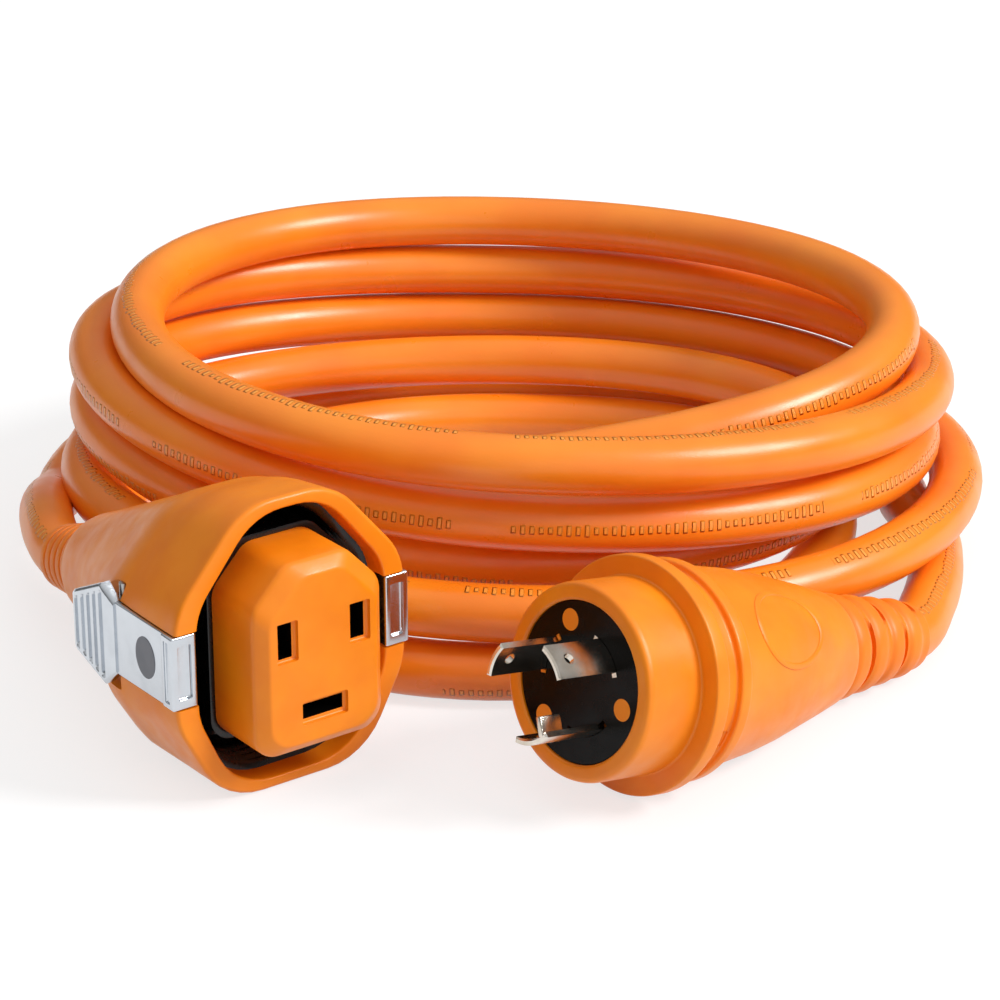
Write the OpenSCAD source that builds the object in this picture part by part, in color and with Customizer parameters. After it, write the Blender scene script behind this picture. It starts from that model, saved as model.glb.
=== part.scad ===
// Shore power cord: a coiled three-conductor cable with a latching connector and a locking plug.
// Millimetres, +Z up. The origin is on the floor under the middle of the connector's mouth.
// The mouth faces -Y.

/* [Cable] */
// Outer diameter of the cable's sheath
cord_d = 18; // [16:0.5:18]
// Diameter of one insulated conductor
core_d = 4.2; // [3:0.2:5]

/* [Connector shell] */
// Width of the mouth over the latch channels
mouth_w = 79; // [76:1:92]
// Height of the mouth
mouth_h = 90; // [86:1:100]
// Wall at the sides of the mouth, where the latches lie
side_wall = 7.5; // [6.5:0.5:9]
// Wall at the top and bottom of the mouth
top_wall = 3.5; // [3.5:0.5:7]
// Depth of the mouth down to the web
mouth_depth = 28; // [26:1:32]
// Thickness of the web that carries the contact block
web_t = 5; // [4:0.5:6]
// Length of the straight collar, measured from the mouth
collar_len = 34; // [34:1:40]
// Length of the shell, measured from the mouth
shell_len = 105; // [100:1:125]
// Height of the cable's axis where the strain relief starts
relief_z = 32; // [30:1:36]
// Downward slope of the strain relief in degrees
relief_droop = 12; // [6:1:14]

/* [Contact block] */
// Width of the contact block
block_w = 43.6; // [42:0.2:46]
// Height of the contact block
block_h = 58.5; // [56:0.5:62]
// How far the contact block stands out of the mouth
block_out = 16; // [8:1:20]
// Chamfer round the front of the contact block
block_chamfer = 3.6; // [2:0.2:5]
// Height of the contact block's middle above the mouth's
block_rise = 1.3; // [0:0.1:2]
// Distance between the two upright contacts
contact_pitch = 24.6; // [24:0.2:26]
// Height of the upright contacts above the mouth's middle
contact_rise = 8.4; // [7:0.2:10]
// Depth of the lying contact below the mouth's middle
contact_drop = 15.2; // [14:0.2:17]
// Width of a contact slot
slot_w = 4.6; // [4.4:0.1:5]
// Length of an upright contact slot
slot_h = 10.6; // [9:0.2:11]
// Length of the lying contact slot
ground_slot_h = 13.6; // [12:0.2:14]
// Wall of the rubber seal
seal_t = 1.6; // [1.4:0.2:2.2]
// Depth at which the seal's lips start
seal_start = 8; // [6:1:12]

/* [Latches] */
// Height of a latch arm
latch_h = 22.7; // [18:0.1:24]
// Thickness of a latch arm
latch_t = 2; // [1.6:0.1:2.4]
// Distance of the hinge pin behind the mouth
latch_pin_y = 34; // [32:1:36]
// Diameter of a hinge pin
latch_pin_d = 3; // [2.5:0.1:3.2]
// Length of the finger pad
pad_len = 18; // [14:1:22]
// Height of the finger pad
pad_h = 32; // [28:1:36]

/* [Plug] */
// Radius of the plug's nose
nose_r = 28.8; // [27:0.2:30]
// Length of the plug's nose
nose_len = 21; // [18:1:24]
// Radius of the plug's flange
flange_r = 35; // [32:0.5:37]
// Length of the plug's body, measured from the face
plug_len = 102; // [98:1:110]
// Radius of the black face disc
disc_r = 23.6; // [22:0.2:24]
// Length of the blades in front of the face
blade_out = 21; // [18:0.5:24]
// Thickness of a blade
blade_t = 1.8; // [1.6:0.1:2]
// Radius of the circle on which the blades lie
blade_circle_r = 14.6; // [14:0.1:15]
// Angle that a straight blade spans
blade_span = 42; // [36:1:48]
// Angle that the hooked ground blade spans
ground_span = 52; // [44:1:56]
// Upward tilt of the plug's nose in degrees
plug_tilt = 11.5; // [10:0.5:13]

/* [Strain reliefs] */
// Length of the connector's strain relief
connector_relief_len = 27; // [20:1:36]
// Length of the plug's strain relief
plug_relief_len = 42; // [36:1:48]
// Wall of a strain relief at the cable's end
relief_tip_t = 1.8; // [1.4:0.2:2.5]

/* [Hidden] */

$fn = 48;
fit = 0.3;          // gap between pieces that move
seat = 0.05;        // running gap on a hinge pin
snug = 0.02;        // gap round a soft piece that fills a hollow
mouth_z = mouth_h/2;
orange = "darkorange";
eps = 0.01;

// ---------- Outlines ----------

function unit(v) = v/norm(v);

// Arc that rounds the corner b between a and c
function corner(a, b, c, r, n = 3) =
    let(
        u = unit(a - b),
        v = unit(c - b),
        half = acos(u*v)/2,
        centre = b + unit(u + v)*r/sin(half),
        p = b + u*r/tan(half),
        q = b + v*r/tan(half),
        a0 = atan2(p[1] - centre[1], p[0] - centre[0]),
        a1 = atan2(q[1] - centre[1], q[0] - centre[0]),
        turn = a1 - a0 > 180 ? a1 - a0 - 360 : a1 - a0 < -180 ? a1 - a0 + 360 : a1 - a0
    )
    [for (i = [0:n]) centre + r*[cos(a0 + turn*i/n), sin(a0 + turn*i/n)]];

function rounded(points, r, n = 3) =
    let(last = len(points) - 1)
    [for (i = [0:last])
        each corner(points[i > 0 ? i - 1 : last], points[i], points[i < last ? i + 1 : 0], r, n)];

// Eight-sided outline: half width w, half height h, corners cut by [width, height] above and below
function octagon(w, h, top, low) = [
    [w, low[1] - h], [w, h - top[1]], [w - top[0], h], [top[0] - w, h],
    [-w, h - top[1]], [-w, low[1] - h], [low[0] - w, -h], [w - low[0], -h]
];

mouth_top_cut = [24, 28];
mouth_low_cut = [15, 28];
mouth_corner_r = 22;
block_top_cut = [11.4, 12];
block_low_cut = [4.5, 4.5];
block_corner_r = 7;

// The shell's outline at the mouth, drawn in by inset (sides) and inset_h (top and bottom)
function mouth_outline(inset, inset_h) =
    let(drawn_in = [inset*0.5, inset_h*0.8])
    rounded(octagon(mouth_w/2 - inset, mouth_h/2 - inset_h, mouth_top_cut - drawn_in, mouth_low_cut - drawn_in),
        mouth_corner_r - inset*0.3, 4);

// The contact block's outline, grown by grow: large cut corners above and small ones below
function block_outline(grow) =
    [for (p = rounded(octagon(block_w/2 + grow, block_h/2 + grow, block_top_cut, block_low_cut), block_corner_r))
        p + [0, block_rise]];

// Share by which the shell has sunk at depth y behind the mouth
function sink(y) = lookup(y, [
    [0, 0], [mouth_depth, 0.038], [shell_len*0.4, 0.085], [shell_len*0.52, 0.11], [shell_len*0.7, 0.08], [shell_len*0.92, 0]
]);

// Stands an outline (x, z) up at depth y, where the shell's height has sunk
function stand(outline, y) = [for (p = outline) [p[0], y, (p[1] + mouth_z)*(1 - sink(y))]];

// Stands an outline (x, z) up at the mouth's height and extrudes it from y0 to y1
module prism(outline, y0, y1)
    translate([0, y1, mouth_z]) rotate([90, 0, 0]) linear_extrude(y1 - y0) polygon(outline);

// ---------- Tubes along a route ----------

function ring(centre, along, r, sides) =
    let(side = unit(cross(along, [0, 0, 1])), up = cross(side, along))
    [for (k = [0:sides - 1]) centre + r*(cos(90 + 360*k/sides)*side + sin(90 + 360*k/sides)*up)];

// Skins a list of cross-sections that have equal numbers of points
module loft(sections) {
    n = len(sections[0]);
    last = len(sections) - 1;
    skin = [for (i = [0:last - 1]) for (k = [0:n - 1])
        let(a = i*n + k, b = i*n + (k + 1)%n)
        each [[a, b, b + n], [a, b + n, a + n]]];
    caps = [for (k = [1:n - 2]) each [[0, k + 1, k], [last*n, last*n + k, last*n + k + 1]]];
    polyhedron([for (section = sections) each section], concat(skin, caps), convexity = 10);
}

module tube(path, r, sides) {
    last = len(path) - 1;
    loft([for (i = [0:last]) ring(path[i], unit(path[min(i + 1, last)] - path[max(i - 1, 0)]), r, sides)]);
}

// Smooth curve through four values or points, from b at u = 0 to c at u = 1
function between(a, b, c, d, u) =
    0.5*(2*b + (c - a)*u + (2*a - 5*b + 4*c - d)*u*u + (3*b - a - 3*c + d)*u*u*u);

function along(list, t) =
    let(last = len(list) - 1, i = max(0, min(last - 1, floor(t))))
    between(list[max(i - 1, 0)], list[i], list[i + 1], list[min(i + 2, last)], t - i);

// A smooth route through hand-chosen points; the first and the last point only give its direction
function route(points, steps) = [
    for (i = [1:len(points) - 3]) for (s = [0:steps - 1])
        between(points[i - 1], points[i], points[i + 1], points[i + 2], s/steps),
    points[len(points) - 2]
];

// ---------- Connector ----------

web_back = mouth_depth + web_t;
tail_r = cord_d/2;
shell_tip_r = tail_r + 8;
cavity_r = tail_r + 7;
block_screw_x = 10;
block_screw_z = [24, -24];
terminal_back = web_back + 9;
clamp_len = 12;
clamp_start = -34;          // along the relief's axis, behind the relief's root
tail_start = -38;
clamp_seat = 5.4;           // height of the clamp screws' heads above the cable's axis
clamp_screw_x = tail_r + 2.6;

// The frame of the cable's axis at the connector: +Z runs out along the cable
module relief_frame()
    translate([0, shell_len, relief_z]) rotate([-relief_droop, 0, 0]) rotate([-90, 0, 0]) children();

function relief_point(x, y, s) =
    [x, shell_len + s*cos(relief_droop) + y*sin(relief_droop), relief_z - s*sin(relief_droop) + y*cos(relief_droop)];

// Where the rear's cross-sections lie, as a share of its length, and how round each one is
rear_shape = [
    [-0.03, 0], [0.08, 0.03], [0.15, 0.1], [0.25, 0.22], [0.35, 0.35], [0.45, 0.48], [0.59, 0.65],
    [0.73, 0.8], [0.87, 0.92], [1, 1]
];

// One cross-section of the shell's rear: an outline that turns from the mouth's shape (part = 0)
// into a circle of radius r round the cable's axis (part = 1)
function rear_section(outline, y, part, r, s) = [for (p = outline)
    let(
        a = atan2(p[1], p[0]),
        q = [p[0], y, p[1] + mouth_z]*(1 - part) + relief_point(r*cos(a), r*sin(a), s)*part
    )
    [q[0], q[1], q[2]*(1 - sink(y))]];

module connector_shell() color(orange) difference() {
    union() {
        loft([for (y = [0, mouth_depth, collar_len]) stand(mouth_outline(0, 0), y)]);
        loft([for (k = rear_shape) let(y = collar_len + k[0]*(shell_len - collar_len))
            rear_section(mouth_outline(0.5, 0.5), y, k[1], shell_tip_r, y - shell_len)]);
    }
    loft([for (y = [-1, 0, mouth_depth]) stand(mouth_outline(side_wall, top_wall), y)]);
    loft([for (k = [[0, 0], [14, 0.15], [30, 0.6], [shell_len - web_back + clamp_start, 1]])
        rear_section(mouth_outline(side_wall + 1, top_wall + 1.5), web_back + k[0], k[1], cavity_r - 0.2,
            min(clamp_start, web_back + k[0] - shell_len))]);
    relief_frame() translate([0, 0, clamp_start - 3]) cylinder(h = -clamp_start - 2, r = cavity_r);
    relief_frame() translate([0, 0, -8]) cylinder(h = 10, r = tail_r);
    // window in the web for the contacts
    translate([-contact_pitch/2 - 5, mouth_depth - 1, mouth_z - contact_drop - 5])
        cube([contact_pitch + 10, web_t + 2, contact_drop + contact_rise + 12]);
    for (x = [-1, 1]) for (z = block_screw_z)
        translate([x*block_screw_x, mouth_depth - 1, mouth_z + z]) rotate([-90, 0, 0])
            cylinder(h = web_t + 2, d = 3.6, $fn = 24);
    for (side = [-1, 1]) latch_place(side) latch_recess();
}

module mouth_seal() color("black") {
    difference() {
        loft([for (y = [seal_start, mouth_depth])
            stand(mouth_outline(side_wall + snug, top_wall + snug), y)]);
        loft([for (y = [seal_start - 1, mouth_depth - seal_t])
            stand(mouth_outline(side_wall + seal_t, top_wall + seal_t), y)]);
        prism(block_outline(0), mouth_depth - seal_t - 1, mouth_depth + 1);
    }
    difference() {
        prism(block_outline(seal_t), seal_start, mouth_depth - seal_t);
        prism(block_outline(0), seal_start - 1, mouth_depth);
    }
}

module contact_at(i)
    translate(i == 0 ? [-contact_pitch/2, 0, mouth_z + contact_rise]
        : i == 1 ? [contact_pitch/2, 0, mouth_z + contact_rise]
        : [0, 0, mouth_z - contact_drop])
        rotate([0, i == 2 ? 90 : 0, 0]) children();

socket_front = -2;          // where the contacts' jaws start, measured from the mouth
socket_w = 7;
socket_h = 10;

module contact_block() color(orange) difference() {
    union() {
        prism(block_outline(0), block_chamfer - block_out, mouth_depth);
        hull() {
            prism(block_outline(0), block_chamfer - block_out, block_chamfer - block_out + eps);
            prism(block_outline(-block_chamfer), -block_out, -block_out + eps);
        }
    }
    for (i = [0:2]) contact_at(i) {
        length = i == 2 ? ground_slot_h : slot_h;
        translate([-slot_w/2, -block_out - 1, -length/2]) cube([slot_w, block_out + 4, length]);
        translate([-slot_w/2 - 1.3, -block_out - 1, -length/2 - 1]) cube([slot_w + 2.6, 2.6, length + 2]);
        translate([-socket_w/2, socket_front, -socket_h/2]) cube([socket_w, mouth_depth - socket_front + 1, socket_h]);
    }
    for (x = [-1, 1]) for (z = block_screw_z)
        translate([x*block_screw_x, mouth_depth - 11, mouth_z + z]) rotate([-90, 0, 0])
            cylinder(h = 12, d = 3, $fn = 24);
}

module contact_block_screws() color("silver")
    for (x = [-1, 1]) for (z = block_screw_z)
        translate([x*block_screw_x, 0, mouth_z + z]) rotate([-90, 0, 0]) {
            translate([0, 0, mouth_depth - 10]) cylinder(h = web_t + 10, d = 3, $fn = 24);
            translate([0, 0, web_back]) cylinder(h = 2.4, d = 6, $fn = 24);
        }

// A contact: two jaws, a root block and a screw terminal
module socket(i) color("goldenrod") contact_at(i) {
    for (x = [-1, 1]) translate([x > 0 ? 1.2 : -2.4, socket_front, -socket_h/2 + 0.5])
        cube([1.2, 15, socket_h - 1]);
    difference() {
        translate([-socket_w/2, 12, -socket_h/2]) cube([socket_w, terminal_back - 12, socket_h]);
        translate([0, terminal_back - 8, 0]) rotate([-90, 0, 0]) cylinder(h = 9, d = core_d - 1.4, $fn = 24);
        translate([0, terminal_back - 5, 0]) cylinder(h = socket_h, d = 2.6, $fn = 24);
    }
}

module line_socket() socket(0);

module neutral_socket() socket(1);

module ground_socket() socket(2);

module socket_terminal_screws() color("silver")
    for (i = [0:2]) contact_at(i) translate([0, terminal_back - 5, 0]) {
        translate([0, 0, 2]) cylinder(h = socket_h/2 - 2, d = 2.6, $fn = 24);
        translate([0, 0, socket_h/2]) cylinder(h = 1.8, d = 4.6, $fn = 24);
    }

// A conductor from a terminal's back face to the sheath's end
module connector_wire(start, end) {
    a = [start[0], terminal_back, start[1]];
    b = relief_point(end[0], end[1], tail_start);
    c = relief_point(end[0], end[1], tail_start - 8);
    tube(route([a - [0, 4, 0], a, a + [0, 5, 0], (a + c)/2 + [0, 2, 0], c, b, b + (b - c)], 3), core_d/2, 8);
}

module connector_line_wire() color("black")
    connector_wire([-contact_pitch/2, mouth_z + contact_rise], [-4, 2.4]);

module connector_neutral_wire() color("white")
    connector_wire([contact_pitch/2, mouth_z + contact_rise], [4, 2.4]);

module connector_ground_wire() color("green")
    connector_wire([0, mouth_z - contact_drop], [0, -4.4]);

module connector_cable_tail() color(orange)
    relief_frame() translate([0, 0, tail_start]) cylinder(h = connector_relief_len - tail_start, r = tail_r);

// Half of a cable clamp round the sheath; side is 1 for the upper half and -1 for the lower one
module clamp_half(side) difference() {
    intersection() {
        cylinder(h = clamp_len, r = cavity_r);
        translate([-cavity_r, side > 0 ? 1 : -1 - cavity_r, 0]) cube([2*cavity_r, cavity_r, clamp_len]);
    }
    translate([0, 0, -1]) cylinder(h = clamp_len + 2, r = tail_r);
    for (x = [-1, 1]) translate([x*clamp_screw_x, 0, clamp_len/2]) rotate([90, 0, 0])
        cylinder(h = 2*cavity_r, d = 3, center = true, $fn = 24);
    // flat for the screw heads or tips
    for (x = [-1, 1]) translate([x*clamp_screw_x - 3.5, side > 0 ? clamp_seat : -clamp_seat - cavity_r, -1])
        cube([7, cavity_r, clamp_len + 2]);
}

module clamp_screws() for (x = [-1, 1]) translate([x*clamp_screw_x, 0, clamp_len/2]) rotate([-90, 0, 0]) {
    translate([0, 0, -clamp_seat]) cylinder(h = 2*clamp_seat, d = 3, $fn = 24);
    translate([0, 0, clamp_seat]) cylinder(h = 1.5, d = 5, $fn = 24);
}

module connector_clamp_upper() color("dimgray") relief_frame() translate([0, 0, clamp_start]) clamp_half(1);

module connector_clamp_lower() color("dimgray") relief_frame() translate([0, 0, clamp_start]) clamp_half(-1);

module connector_clamp_screws() color("silver") relief_frame() translate([0, 0, clamp_start]) clamp_screws();

// A ringed sleeve that tapers from root_r to the cable; rings are raised bands
module sleeve(length, root_r, rings) {
    tip_r = tail_r + relief_tip_t;
    pitch = length/rings;
    rotate_extrude() polygon(concat(
        [[tail_r, 0]],
        [for (i = [0:rings - 1]) let(r = root_r + (tip_r - root_r)*i/(rings - 1))
            each [[r, i*pitch], [r, (i + 0.62)*pitch], [r - 1.1, (i + 0.7)*pitch], [r - 1.1, (i + 0.95)*pitch]]],
        [[tip_r - 1.1, length], [tail_r, length]]
    ));
}

module connector_strain_relief() color(orange)
    relief_frame() sleeve(connector_relief_len, shell_tip_r - 3, 6);

// ---------- Latches ----------

knuckle_r = latch_pin_d/2 + 1.6;
knuckle_h = 14;
pin_x = mouth_w/2 - knuckle_r - 1.2;
channel_depth = latch_t + fit - 0.5;
hook_len = 6;
pad_t = latch_t + 1.6;
groove = 1;                 // depth of the grooves in a finger pad
pad_flare = 5;              // how far a finger pad turns out from the shell, in degrees
latch_outer = 0.5;          // how far a latch arm stands proud of the shell's flat

// Side 1 is the right latch and side -1 the left one, seen from the front
module latch_place(side) translate([0, 0, mouth_z]) mirror([side > 0 ? 0 : 1, 0, 0]) children();

// What a latch needs cut out of the shell
module latch_recess() {
    high = latch_h/2 + fit;
    translate([mouth_w/2 - channel_depth, -1, -high]) cube([10, latch_pin_y + pad_len + 4, 2*high]);
    translate([mouth_w/2 - side_wall - 2, -1, -high]) cube([20, hook_len + 1 + 0.6, 2*high]);
    translate([pin_x - knuckle_r - fit, latch_pin_y - knuckle_r - fit, -high])
        cube([20, 2*(knuckle_r + fit), 2*high]);
    translate([mouth_w/2 - channel_depth - 2.4, latch_pin_y - 3, -pad_h/2 - 0.6])
        cube([12, pad_len + 7, pad_h + 1.2]);
    translate([pin_x, latch_pin_y, -high - 4]) cylinder(h = 2*high + 8, d = latch_pin_d, $fn = 32);
}

module latch() color("silver") {
    outer = mouth_w/2 + latch_outer;
    difference() {
        union() {
            translate([outer - latch_t, 0, -latch_h/2]) cube([latch_t, latch_pin_y + 1, latch_h]);
            translate([mouth_w/2 - side_wall + 0.4, 0, -latch_h/2])
                cube([side_wall - 0.4 + latch_outer, hook_len, latch_h]);
            translate([pin_x, latch_pin_y, -knuckle_h/2]) cylinder(h = knuckle_h, r = knuckle_r);
            translate([pin_x, latch_pin_y - knuckle_r, -knuckle_h/2])
                cube([outer - pin_x - 0.5, 2*knuckle_r, knuckle_h]);
            // finger pad
            translate([outer - latch_t, latch_pin_y, 0]) rotate([0, 0, -pad_flare]) rotate([90, 0, 90])
                linear_extrude(pad_t) polygon([
                    [-2, -latch_h/2], [3, -pad_h/2], [pad_len, -pad_h/2 + 7],
                    [pad_len, pad_h/2 - 7], [3, pad_h/2], [-2, latch_h/2]
                ]);
        }
        translate([pin_x, latch_pin_y, -knuckle_h/2 - 1])
            cylinder(h = knuckle_h + 2, r = latch_pin_d/2 + seat, $fn = 32);
        for (i = [0:4]) translate([outer - latch_t, latch_pin_y, 0]) rotate([0, 0, -pad_flare])
            translate([pad_t - groove, 3.2 + i*3.2, -pad_h/2 + 3 + i])
                cube([2, 1.3, pad_h - 6 - 2*i]);
    }
}

module left_latch() latch_place(-1) latch();

module right_latch() latch_place(1) latch();

module latch_pin() color("silver") translate([pin_x, latch_pin_y, -latch_h/2 - fit - 4])
    cylinder(h = latch_h + 2*fit + 8, d = latch_pin_d, $fn = 32);

module left_latch_pin() latch_place(-1) latch_pin();

module right_latch_pin() latch_place(1) latch_pin();

spring_wire = 0.7;
spring_turns = 3;
spring_low = knuckle_h/2 + 0.6;

module latch_spring() color("goldenrod") {
    coil_r = latch_pin_d/2 + 0.3 + spring_wire/2;
    rise = 1.05;
    winding = [for (i = [0:spring_turns*10])
        [pin_x + coil_r*cos(36*i), latch_pin_y + coil_r*sin(36*i), spring_low + rise*i/10]];
    end = winding[len(winding) - 1];
    tube(concat([winding[0] - [0, 1, 0]], winding, [end + [0, 1, 0]]), spring_wire/2, 6);
}

module left_latch_spring() latch_place(-1) latch_spring();

module right_latch_spring() latch_place(1) latch_spring();

// ---------- Plug ----------

plug_at = [54, -63, 40];
plug_turn = 5;
core_len = 30;
disc_front = 1;             // how far the disc lies behind the nose's rim
disc_t = 2.5;
plug_clamp_start = plug_len - 34;
plug_tail_start = plug_clamp_start - 5;
peg_r = 3.2;
peg_circle_r = disc_r - peg_r - 2.4;
core_screw_x = disc_r - 4.2;
scoop_r = 20;
plug_tip_r = tail_r + 8;

// The plug's own frame: +Z runs from the face out along the cable
module plug_frame() translate(plug_at) rotate([0, 0, plug_turn]) rotate([0, plug_tilt, 0])
    rotate([0, 90, 0]) rotate([0, 0, 90]) children();

function plug_point(s) = plug_at + [s*cos(plug_tilt)*cos(plug_turn), s*cos(plug_tilt)*sin(plug_turn), -s*sin(plug_tilt)];

module plug_body() color(orange) plug_frame() difference() {
    rotate_extrude($fn = 72) polygon([
        [0, 0], [nose_r - 2, 0], [nose_r - 0.6, 0.6], [nose_r, 2], [nose_r, nose_len],
        [flange_r - 0.6, nose_len], [flange_r, nose_len + 0.7], [flange_r, nose_len + 4.6],
        [flange_r - 0.7, nose_len + 5.2], [flange_r - 4, nose_len + 5.2], [flange_r - 4, nose_len + 12.5],
        [flange_r - 2.6, nose_len + 12.5], [flange_r - 2, nose_len + 13], [flange_r - 2, nose_len + 16.4],
        [flange_r - 4, nose_len + 17.2], [28, 60], [23.6, 80], [plug_tip_r + 1.4, plug_len - 2],
        [plug_tip_r + 0.6, plug_len], [0, plug_len]
    ]);
    translate([0, 0, -1]) cylinder(h = core_len + 3, r = disc_r);
    translate([0, 0, core_len + 1]) cylinder(h = plug_len - core_len - 7, r = cavity_r);
    translate([0, 0, core_len + 1]) cylinder(h = wire_room_len, r1 = wire_room_r, r2 = cavity_r - 0.2);
    translate([0, 0, plug_len - 8]) cylinder(h = 9, r = tail_r);
    // two shallow notches across the band behind the flange
    for (a = [20, 200]) rotate(a) translate([flange_r - 5, -3, nose_len + 5.2]) cube([10, 6, 7.3]);
    for (a = peg_angles) at_angle(a, core_screw_x) translate([0, 0, core_len]) cylinder(h = 9, d = 3, $fn = 24);
    // thumb scoop under the body
    translate([0, -scoop_r*2, 66]) sphere(r = scoop_r);
}

module at_angle(a, r) rotate(a) translate([r, 0, 0]) children();

wire_circle_r = blade_circle_r - 1.2;
wire_room_r = wire_circle_r + core_d/2 + 0.4;
wire_room_len = 24;
peg_angles = [66, 187, 310];
blade_angles = [129, 19, 245];
blade_spans = [blade_span, blade_span, ground_span];
hook_reach = 6.8;           // how far the ground blade's tip turns in

// A curved plate on the blades' circle, grown by grow on all its sides
module arc_plate(span, z0, z1, grow = 0)
    rotate(-span/2 - grow*4) translate([0, 0, z0])
        rotate_extrude(angle = span + grow*8, $fn = 96)
            translate([blade_circle_r - blade_t/2 - grow, 0]) square([blade_t + 2*grow, z1 - z0]);

module plug_face_disc() color("black") plug_frame() difference() {
    translate([0, 0, disc_front]) cylinder(h = disc_t, r = disc_r);
    for (a = peg_angles) at_angle(a, peg_circle_r) cylinder(h = 10, r = peg_r, $fn = 32);
    for (i = [0:2]) rotate(blade_angles[i]) arc_plate(blade_spans[i], 0, 10);
}

module plug_core() color(orange) plug_frame() difference() {
    union() {
        translate([0, 0, disc_front + disc_t]) cylinder(h = core_len + 1 - disc_front - disc_t, r = disc_r);
        for (a = peg_angles) at_angle(a, peg_circle_r)
            translate([0, 0, disc_front]) cylinder(h = disc_t + 1, r = peg_r, $fn = 32);
    }
    for (i = [0:2]) rotate(blade_angles[i]) arc_plate(blade_spans[i], 0, core_len + 3);
    // terminal pockets behind the blades
    for (a = blade_angles) at_angle(a, blade_circle_r)
        translate([-7, -5.5, 18]) cube([11, 11, core_len]);
    for (a = peg_angles) at_angle(a, core_screw_x) translate([0, 0, core_len - 8])
        cylinder(h = 12, d = 3, $fn = 24);
}

module plug_core_screws() color("silver") plug_frame()
    for (a = peg_angles) at_angle(a, core_screw_x) translate([0, 0, core_len - 7])
        cylinder(h = 15, d = 3, $fn = 24);

// A locking blade: an arc plate with a hole near its tip and a terminal block at its root
module blade(i, hooked) color("silver") plug_frame() rotate(blade_angles[i]) difference() {
    union() {
        arc_plate(blade_spans[i], -blade_out, 24);
        translate([blade_circle_r - 4.4, -4.5, 19]) cube([7.4, 9, 11]);
        if (hooked) translate([blade_circle_r - hook_reach, -5.2, -blade_out])
            cube([hook_reach - 0.8, blade_t, 8]);
    }
    translate([0, 0, -blade_out + 6]) rotate([0, 90, 0]) cylinder(h = 30, d = 3.4, $fn = 24);
    translate([blade_circle_r - 1.2, 0, 23]) cylinder(h = 8, d = core_d - 1.4, $fn = 24);
    translate([0, 0, 26]) rotate([0, 90, 0]) cylinder(h = blade_circle_r - 1, d = 2.6, $fn = 24);
}

module line_blade() blade(0, false);

module neutral_blade() blade(1, false);

module ground_blade() blade(2, true);

module blade_terminal_screws() color("silver") plug_frame()
    for (a = blade_angles) rotate(a) translate([blade_circle_r - 5.6, 0, 26]) rotate([0, 90, 0]) {
        cylinder(h = 3, d = 2.6, $fn = 24);
        translate([0, 0, -0.6]) cylinder(h = 1.8, d = 4, $fn = 24);
    }

module plug_wire(a) plug_frame() {
    start = [wire_circle_r*cos(a), wire_circle_r*sin(a), core_len];
    end = [4.6*cos(a), 4.6*sin(a), plug_tail_start];
    tube(wire_route(start, end), core_d/2, 8);
}

function wire_route(a, b) =
    route([a - [0, 0, 4], a, a + [0, 0, 4], (a + b)/2, b - [0, 0, 5], b, b + [0, 0, 4]], 3);

module plug_line_wire() color("black") plug_wire(blade_angles[0]);

module plug_neutral_wire() color("white") plug_wire(blade_angles[1]);

module plug_ground_wire() color("green") plug_wire(blade_angles[2]);

module plug_cable_tail() color(orange) plug_frame() translate([0, 0, plug_tail_start])
    cylinder(h = plug_len + plug_relief_len - plug_tail_start, r = tail_r);

module plug_clamp_upper() color("dimgray") plug_frame() translate([0, 0, plug_clamp_start]) clamp_half(1);

module plug_clamp_lower() color("dimgray") plug_frame() translate([0, 0, plug_clamp_start]) clamp_half(-1);

module plug_clamp_screws() color("silver") plug_frame() translate([0, 0, plug_clamp_start]) clamp_screws();

// The slotted strain relief: staggered slots between its ribs
module plug_strain_relief() color(orange) plug_frame() translate([0, 0, plug_len]) difference() {
    rotate_extrude() polygon([
        [tail_r, 0], [plug_tip_r - 0.5, 0], [tail_r + relief_tip_t + 0.4, plug_relief_len - 5],
        [tail_r + relief_tip_t, plug_relief_len], [tail_r, plug_relief_len]
    ]);
    for (row = [0:3]) for (a = [0:180:180]) rotate(a + 90*(row%2))
        translate([tail_r + 1.2, -11, 5 + row*7.6]) cube([20, 22, 3]);
}

// ---------- Cable ----------

// The pile of loops, turned about its own axis; each list gives one value per half or quarter turn
coil_at = [167, 116];
coil_turn = -37;
coil_half_widths = [156, 152, 145, 113, 142, 137, 141, 141, 126, 129, 94, 109, 134, 136];
coil_reaches = [146, 138, 88, 108, 120, 118, 121, 126, 120, 91, 80, 138, 112];
coil_heights = [
    13, 10, 24, 28.5, 28, 29.4, 29, 32, 49, 34, 38, 50, 68, 53, 57, 73, 81, 73.4, 74, 58, 22, 10, 10, 9.2, 9.2, 9.2, 9.2
];
coil_quarters = len(coil_heights) - 1;
rings_per_quarter = 6;

// A point of the pile, q quarter turns after its start at the left; it winds clockwise seen from above
function coil_point(q) =
    let(
        angle = 180 - 90*q,
        x = along(coil_half_widths, q/2)*cos(angle),
        y = along(coil_reaches, (q - 1)/2)*sin(angle)
    )
    [coil_at[0] + x*cos(coil_turn) - y*sin(coil_turn),
     coil_at[1] + x*sin(coil_turn) + y*cos(coil_turn),
     along(coil_heights, q)];

coil_path = [for (i = [0:coil_quarters*rings_per_quarter]) coil_point(i/rings_per_quarter)];

// Least gap of the coil to itself, measured between points more than a quarter turn apart
function least_gap(points, apart) = min([for (i = [0:len(points) - 1 - apart])
    min([for (j = [i + apart:len(points) - 1]) norm(points[i] - points[j])])]) - cord_d;

module cable_coil() color(orange) {
    echo(str("Least gap of the coil to itself in mm: ", least_gap(coil_path, rings_per_quarter + 2)));
    tube(coil_path, cord_d/2, 6);
}

// Free stretch from the connector's relief to the pile
connector_lead_points = [[4, 147, 26], [14, 169, 23.5], [27, 191, 18.5]];

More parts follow.
